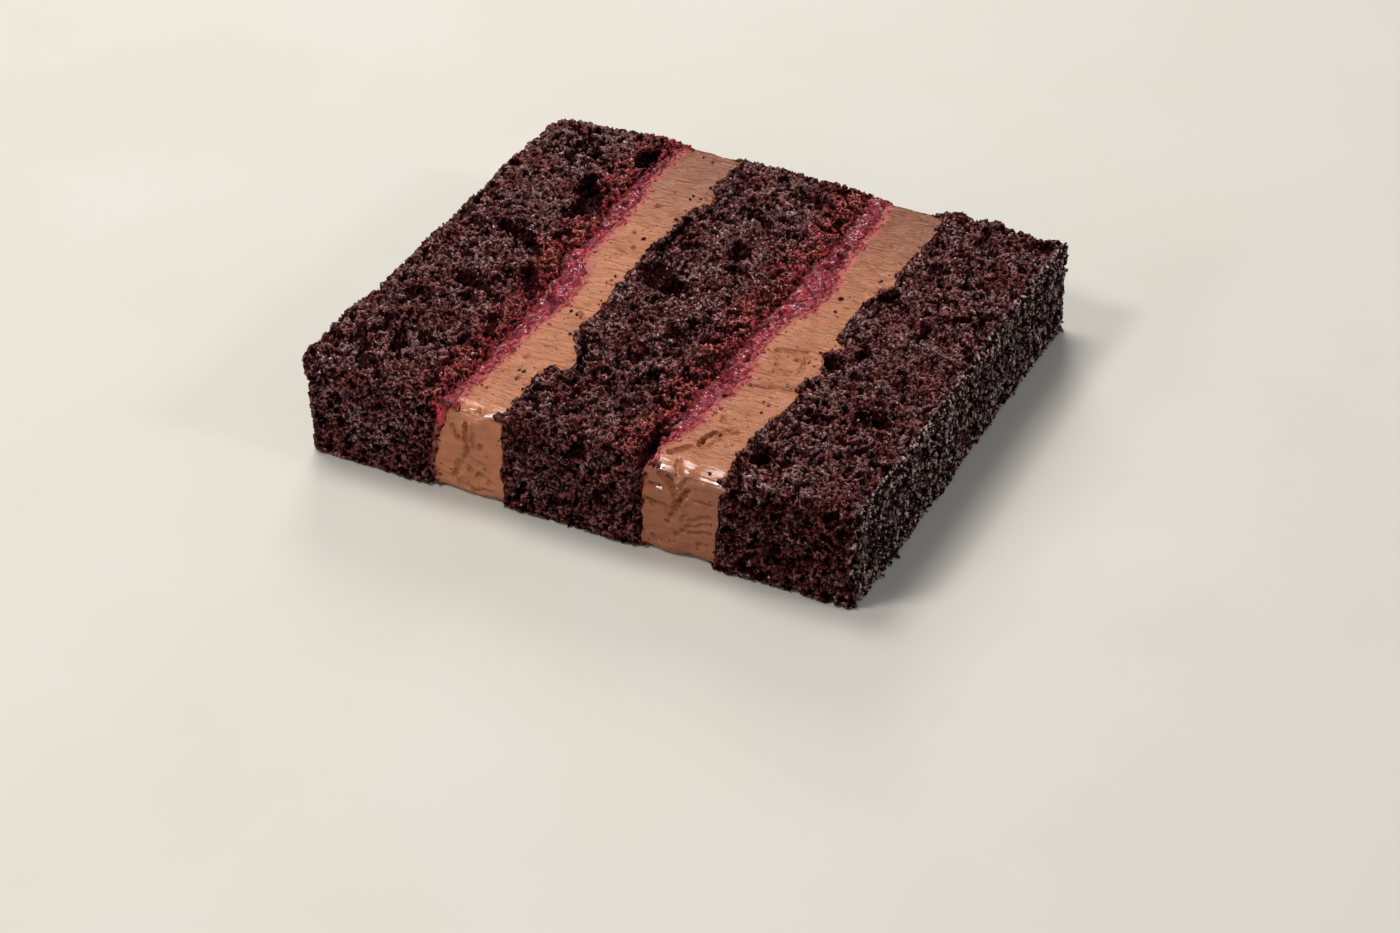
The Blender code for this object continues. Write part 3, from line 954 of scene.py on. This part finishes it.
def sponge_paint():
    """Open dark crumb: pores with painted shade, brown and greyish webs, moist glints and jam stains."""
    p = Paint("sponge", Specular_IOR_Level=0.02, Coat_Roughness=0.13)
    sunk = p.attribute("sunk")
    side = p.attribute("side")
    stain = p.attribute("stain")
    tight = p.attribute("tight")
    patches = p.noise(7.0, 3.0)
    spots = p.noise(2.0, 3.0, 0.6)
    grain = p.node("ShaderNodeSeparateColor", None, {0: p.cells(0.7, output="Color")})
    pores = p.noise(0.80, 3.0, 0.65)
    fine = p.noise(0.34, 2.0, 0.6)
    streaks = p.noise(0.65, 3.0, 0.65, at=p.stretched((1.0, 1.0, 0.28)))

    # Brown and grey patches of dry crumb with red and dark grains; right face in pale streaks, partly
    # painted sheen.
    dry = p.mix((patches * 0.65 + spots * 0.35).between(0.42, 0.58), SPONGE_BROWN, SPONGE_GREY)
    dry = p.mix(grain.between(0.70, 0.95) * 0.4, dry, SPONGE_RED)
    dry = p.mix(grain.between(0.35, 0.10) * 0.4, dry, SPONGE_DARK)
    dry = p.mix(side, dry, p.mix(streaks.between(0.46, 0.60), SPONGE_GREY, SIDE_GREY_AND_SHEEN))

    # The jam's stain: first red embers in the crumb, then crumb that is soaked through.
    soaked = stain + spots * 1.1 + patches * 1.2 - 1.15
    ember = p.mix((patches * 0.5 + spots * 0.5).between(0.44, 0.54), EMBER_RED, EMBER_CRIMSON)
    ember = p.mix(grain.between(0.2, 0.6), EMBER_DARK, ember)
    juice = p.mix(spots.between(0.4, 0.6), STAIN_PURPLE, STAIN_RED)
    colour = p.mix(soaked.between(0.10, 0.50) * 0.9, dry, ember)
    colour = p.mix(soaked.between(0.62, 0.95), colour, juice)

    # Darker specks, moist patches away from the jam, and painted shade in spots across the front face.
    moist = p.noise(9.0, 2.0).between(0.58, 0.42) * (1 - side)
    colour = p.mix(fine.between(0.58, 0.40) * 0.6, colour, SPONGE_DARK)
    colour = p.mix(moist * (1 - stain) * (0.5 - 0.3 * tight), colour, SPONGE_DARK)
    colour = p.mix(p.attribute("dull") * spots.between(0.55, 0.47) * 1.7, colour, SPONGE_DARK)

    # A ragged web of cell walls; painted shade in the cells between them and in deeper pores and hollows.
    cell = p.cells(1.05, "DISTANCE_TO_EDGE", at=p.warped(0.9, 1.3)) + fine * 0.24
    cell = cell.between(0.22, 0.33)
    hollow = sunk.between(0.15, 0.60) * 0.95
    open_share = 0.9 - 0.40 * soaked.between(0.75, 1.05) - 0.35 * tight
    pore = (cell * open_share).most(pores.between(0.46, 0.40)) * (1 - side)
    pore = pore.most(side * streaks.between(0.52, 0.45))
    pit_shade = p.mix(soaked.between(0.10, 0.60), SPONGE_PIT_SHADE, SOAKED_PIT_SHADE)
    colour = p.mix(hollow.most(pore), colour, pit_shade)

    # Moist glints on the walls between the pores.
    glint = p.noise(0.45, 1.0).between(0.54, 0.60)
    coat = (glint * 0.9 + 0.1) * (1 - 0.9 * pore) * (1 - 0.25 * hollow) * (1 - 0.6 * side)
    height = pores.between(0.38, 0.50) * 0.5 - cell * (1 - side)
    height = height + side * streaks.between(0.40, 0.55) + fine * 0.4
    p.feed(Base_Color=colour, Roughness=0.7, Coat_Weight=coat, Normal=p.bump(height, 0.45))
    return p.material


def cream_paint():
    """Milk chocolate cream drawn out by a knife: fine lines across the band, specks and a pink edge."""
    p = Paint("cream", Specular_IOR_Level=0.28, Coat_Roughness=0.1)
    p.feed(Subsurface_Weight=0.08, Subsurface_Scale=0.002)
    rim = p.attribute("rim")
    ahead = p.attribute("ahead")
    lines = p.noise(0.7, 2.0, 0.6, at=p.stretched((0.12, 1.0, 0.5), 9.0))
    strokes = p.noise(2.4, 2.0, 0.5, at=p.stretched((0.3, 1.0, 0.5), 12.0))
    cloudy = p.noise(7.0, 2.0)
    uneven = p.noise(4.0, 1.0)
    blotches = p.noise(1.6, 3.0, 0.6)
    specks = p.cells(1.3).between(0.22, 0.12) * uneven.between(0.45, 0.56)

    # Light and dark lines, darker towards the back, painted shade on the second band, pink by the jam,
    # painted sheen on the front faces, and darker specks and creases.
    shade = cloudy.between(0.35, 0.65) * 0.3
    shade = shade + lines.between(0.35, 0.65) * 0.35 + strokes.between(0.4, 0.6) * 0.35
    soaked = (p.attribute("stain") + blotches * 1.2 + cloudy * 1.2 - 1.2).between(0.15, 0.95)
    # The creases darken a little, partly brown and partly painted shade.
    creased_shade = p.attribute("hollowed").between(0.1, 0.9)
    colour = p.mix(p.attribute("shade"), p.mix(shade, CREAM_LIGHT, CREAM_MIDDLE), CREAM_DARK)
    colour = p.mix(ahead * 0.3, colour, CREAM_SHEEN)
    colour = p.mix(soaked * 0.8, colour, CREAM_PINK)
    colour = p.mix(specks.most(creased_shade * 0.08), colour, CREAM_SPECK_AND_SHADE)

    # Rougher where it is drawn out, and glossy in places along the rim.
    rough = (0.32 + 0.25 * cloudy) * (1 - 0.6 * rim)
    glossy = rim * uneven.between(0.40, 0.60, 0.2, 1.0)
    calm = 1 - 0.7 * ahead.most(rim * 1.35)
    relief = p.bump(strokes, 0.9, 0.9 * calm)
    relief = p.bump(lines, 1.3, calm, relief)
    relief = p.bump(blotches, 0.5, 0.5 * calm, relief)
    relief = p.bump(1.0 - specks, 0.25, 0.6, relief)
    p.feed(Base_Color=colour, Roughness=rough, Coat_Weight=glossy, Normal=relief)
    return p.material


def jam_paint():
    """Crumb soaked in raspberry jam: crimson going to purple, with painted shade in its pores, and pink by
    the cream.
    """
    p = Paint("jam", Specular_IOR_Level=0.1, Specular_Tint=(1.0, 0.7, 0.7, 1.0), Coat_Roughness=0.12)
    sunk = p.attribute("sunk")
    stain = p.attribute("stain")
    blob = p.attribute("blob")
    blobs = p.noise(2.0, 3.0)
    patches = p.noise(3.6, 2.0)
    pores = p.noise(1.0, 3.0, 0.65)
    fine = p.noise(0.42, 2.0, 0.6)

    # Red and purple jam, pink by the cream, with drier crumb in it, painted shade in its pores and the
    # bright lump.
    colour = p.mix(blobs.between(0.46, 0.54), JAM_RED, JAM_PURPLE)
    colour = p.mix((stain + patches * 2.4 - 1.55).between(0.1, 0.8) * 0.8, colour, JAM_PINK)
    dry = (p.attribute("dry") + pores * 1.8 - 0.9).between(0.25, 0.75)
    colour = p.mix(dry, colour, p.mix(blobs.between(0.48, 0.60), SPONGE_DARK, SPONGE_BROWN))
    colour = p.mix(fine.between(0.56, 0.42) * 0.5 * (1 - 0.6 * stain), colour, SPONGE_DARK)
    pore_shade = sunk.between(0.4, 1.2).most(pores.between(0.50, 0.40)) * (1 - 0.55 * stain)
    colour = p.mix(pore_shade, colour, JAM_PORE_SHADE)
    colour = p.mix(blob, colour, JAM_BLOB)

    glint = (p.noise(0.6, 1.0).between(0.51, 0.60) * (0.9 - 0.9 * pore_shade)).most(blob)
    height = pores.between(0.36, 0.56) + fine * 0.4
    relief = p.bump(height, 0.4, 0.9 - 0.7 * blob)
    p.feed(Base_Color=colour, Roughness=0.45, Coat_Weight=glint, Normal=relief)
    return p.material


def low_or_ahead(points):
    """1 on the front face and below the upper edge, 0 on the upper face."""
    return np.maximum(ramp(-points[:, 1], *FRONT_BAND), ramp(-points[:, 2], *BELOW_EDGE))


def stain_sponge(piece, layer):
    """Keeps what a sponge's finish follows: the jam's stain, painted shade on the front, and where it is
    tight or a side face.
    """
    points = coordinates(piece) / MM - MEASURED_FROM
    x, y, z = points.T
    edge = walls(y, z)[min(layer.number + 1, LAST_NUMBER + 1)]
    amount = np.zeros(len(points))
    if not layer.last:
        amount = np.clip((x - edge + STAIN_REACH) / STAIN_RUN, 0, 1)
    set_attribute(piece, "stain", amount * (1 - 0.75 * low_or_ahead(points)))
    # Painted shade: the front face darkens across towards the right.
    set_attribute(piece, "dull", 0.5 * ramp(-y, *FRONT_BAND) * ramp(x, *FRONT_SHADE_ACROSS))
    set_attribute(piece, "side", ramp(x - edge, *SIDE_DEPTH) * float(layer.last))
    set_attribute(piece, "tight", ramp(y, *TIGHT_ALONG) * ramp(-x, *TIGHT_ACROSS))


def stain_jam(piece, layer):
    """Keeps what a jam's finish follows: how near the cream, how dry and how deep in the bright lump."""
    points = coordinates(piece) / MM - MEASURED_FROM
    x, y, z = points.T
    edges = walls(y, z)
    beside_cream = edges[layer.number + 1] - x
    beside_sponge = x - edges[layer.number]
    stain = (1 - ramp(beside_cream, *PINK_DEPTH)) * (1 - 0.3 * ramp(y, *PALE_ALONG))
    set_attribute(piece, "stain", stain)
    away = np.linalg.norm((points - BLOB_PLACE) / BLOB_SIZES, axis=1)
    blob = (1 - ramp(away, *BLOB_FADE)) * (layer.name == "jam_1")
    set_attribute(piece, "blob", blob)
    dry = np.maximum(low_or_ahead(points), 0.9 * (1 - ramp(beside_sponge, *DRY_DEPTH)))
    dry = np.maximum(dry, 0.35 * ramp(y, *DRY_ALONG))
    set_attribute(piece, "dry", dry * (1 - blob))


def stain_cream(piece, layer):
    """Keeps what a cream's finish follows, painted shade and sheen among it, and marks the faces that the
    knife drew out.
    """
    x, y, z = (coordinates(piece) / MM).T
    facing = normals(piece)
    ahead = ramp(-facing[:, 1], *AHEAD_FACING)
    rim = np.clip(2 * np.maximum(-facing[:, 1], 0) * np.maximum(facing[:, 2], 0), 0, 1)
    rim *= ramp(-y, *RIM_ALONG) * ramp(z, *RIM_UP)
    shade = 0.05 + 0.85 * ramp(y, *SHADE_ALONG)
    # Painted shade: the second band is darker, most of all on its front face.
    if layer.name == "cream_2":
        shade = shade + (0.12 + 0.60 * ahead)
    beside_jam = x - walls(y, z)[layer.number]
    set_attribute(piece, "stain", (1 - ramp(beside_jam, *JUICE_DEPTH)) * (1 - 0.8 * ahead))
    set_attribute(piece, "rim", rim)
    set_attribute(piece, "ahead", ahead)
    set_attribute(piece, "shade", shade)
    fill_attributes(piece, 0.0, "sunk")
    mark(piece, "cut", attribute(piece, "shown") * (1 - 0.8 * rim))


def strew(layer, host, name, count, side, spread):
    """Crumbs strewn on the cream, most of them along its left seam, side 0, or its right one, side 1."""
    seam_number = layer.number + side

    def likely(middles):
        x, y, z = (middles - MEASURED_FROM).T
        beside = np.exp(-np.maximum((x - walls(y, z)[seam_number]) / spread, 0)) + STRAY_CRUMBS
        return beside * ramp(y, *CRUMBS_START)

    return scatter(layer.name + "_" + name, host, count, CRUMB_SIZES, CRUMB_SEED + seam_number, likely)


def dress(piece, paint):
    """Keeps a finished piece in the frame's box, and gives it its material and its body."""
    set_coordinates(piece, np.clip(coordinates(piece), np.array(CAD_LOW), np.array(CAD_HIGH)))
    work_on(piece)
    bpy.ops.object.shade_smooth()
    piece.data.materials.append(paint)
    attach(piece, "root")


def make_crumb(layer, paint, keep_stains):
    """A slab of sponge, or of crumb soaked in jam, with grains of crumb on it."""
    piece = cut_slab(layer)
    shape_slab(piece, layer)
    crumble(piece, *RELIEF[layer.kind])
    keep_stains(piece, layer)
    grains = scatter(layer.name + "_grains", piece, GRAINS[layer.kind], GRAIN_SIZES, layer.number)
    keep_stains(grains, layer)
    dress(piece, paint)
    dress(grains, paint)
    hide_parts(layer.name)


def make_cream(layer, cream, sponge, jam):
    """A band of cream whose cut face is drawn out in fine lines, with crumbs strewn along its seams."""
    piece = cut_slab(layer)
    shape_slab(piece, layer)
    stain_cream(piece, layer)
    draw_out(piece)
    sponge_crumbs = strew(layer, piece, "crumbs", SPONGE_CRUMBS, 1, SPONGE_CRUMB_SPREAD)
    fill_attributes(sponge_crumbs, 0.0, "stain", "dull", "side", "tight")
    jam_crumbs = strew(layer, piece, "jam_crumbs", JAM_CRUMBS, 0, JAM_CRUMB_SPREAD)
    fill_attributes(jam_crumbs, JAM_CRUMB_STAIN, "stain")
    fill_attributes(jam_crumbs, 0.0, "blob", "dry")
    dress(piece, cream)
    dress(sponge_crumbs, sponge)
    dress(jam_crumbs, jam)
    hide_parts(layer.name)


def make_camera():
    """The camera that sees the slice as the photograph does."""
    place = Vector(CAMERA_PLACE) + Vector(MEASURED_FROM)
    aim = Vector(CAMERA_AIM) + Vector(MEASURED_FROM)
    turn = (aim - place).to_track_quat("-Z", "Y").to_matrix().to_4x4()
    roll = Matrix.Rotation(math.radians(CAMERA_ROLL), 4, "Z")
    data = bpy.data.cameras.new("photo_view")
    data.lens = CAMERA_LENS
    data.sensor_width = SENSOR_WIDTH
    data.clip_start = CLIP_START
    camera = bpy.data.objects.new("photo_view", data)
    camera.matrix_world = Matrix.Translation(place * MM) @ turn @ roll
    bpy.context.scene.collection.objects.link(camera)
    bpy.context.scene.camera = camera


def add_softbox(name, place, aim, size, power, colour):
    """A square area light that looks at a point."""
    data = bpy.data.lights.new(name, "AREA")
    data.size = size
    data.energy = power
    data.color = colour
    light = bpy.data.objects.new(name, data)
    light.location = place
    light.rotation_euler = (Vector(aim) - Vector(place)).to_track_quat("-Z", "Y").to_euler()
    bpy.context.scene.collection.objects.link(light)


def make_studio():
    """A plain pale floor, soft light from above and behind, and a low even fill."""
    select_nothing()
    bpy.ops.mesh.primitive_plane_add(size=FLOOR_SIZE, location=(0, 0, 0))
    floor = bpy.context.object
    floor.name = "floor"
    p = Paint("floor", Roughness=0.7)
    p.feed(Base_Color=p.mix(p.noise(60.0, 4.0), FLOOR_GREY, FLOOR_PALE))
    floor.data.materials.append(p.material)
    for softbox in SOFTBOXES:
        add_softbox(*softbox)
    world = bpy.data.worlds.new("studio")
    world.use_nodes = True
    background = world.node_tree.nodes["Background"]
    background.inputs["Color"].default_value = FILL_COLOUR
    background.inputs["Strength"].default_value = FILL_STRENGTH
    bpy.context.scene.world = world
    bpy.context.scene.view_settings.view_transform = "Standard"


def main():
    """Sets the camera and the studio up, then makes the layers from left to right."""
    make_camera()
    make_studio()
    sponge = sponge_paint()
    cream = cream_paint()
    jam = jam_paint()
    for layer in LAYERS:
        if layer.kind == "sponge":
            make_crumb(layer, sponge, stain_sponge)
        elif layer.kind == "jam":
            make_crumb(layer, jam, stain_jam)
        else:
            make_cream(layer, cream, sponge, jam)


main()
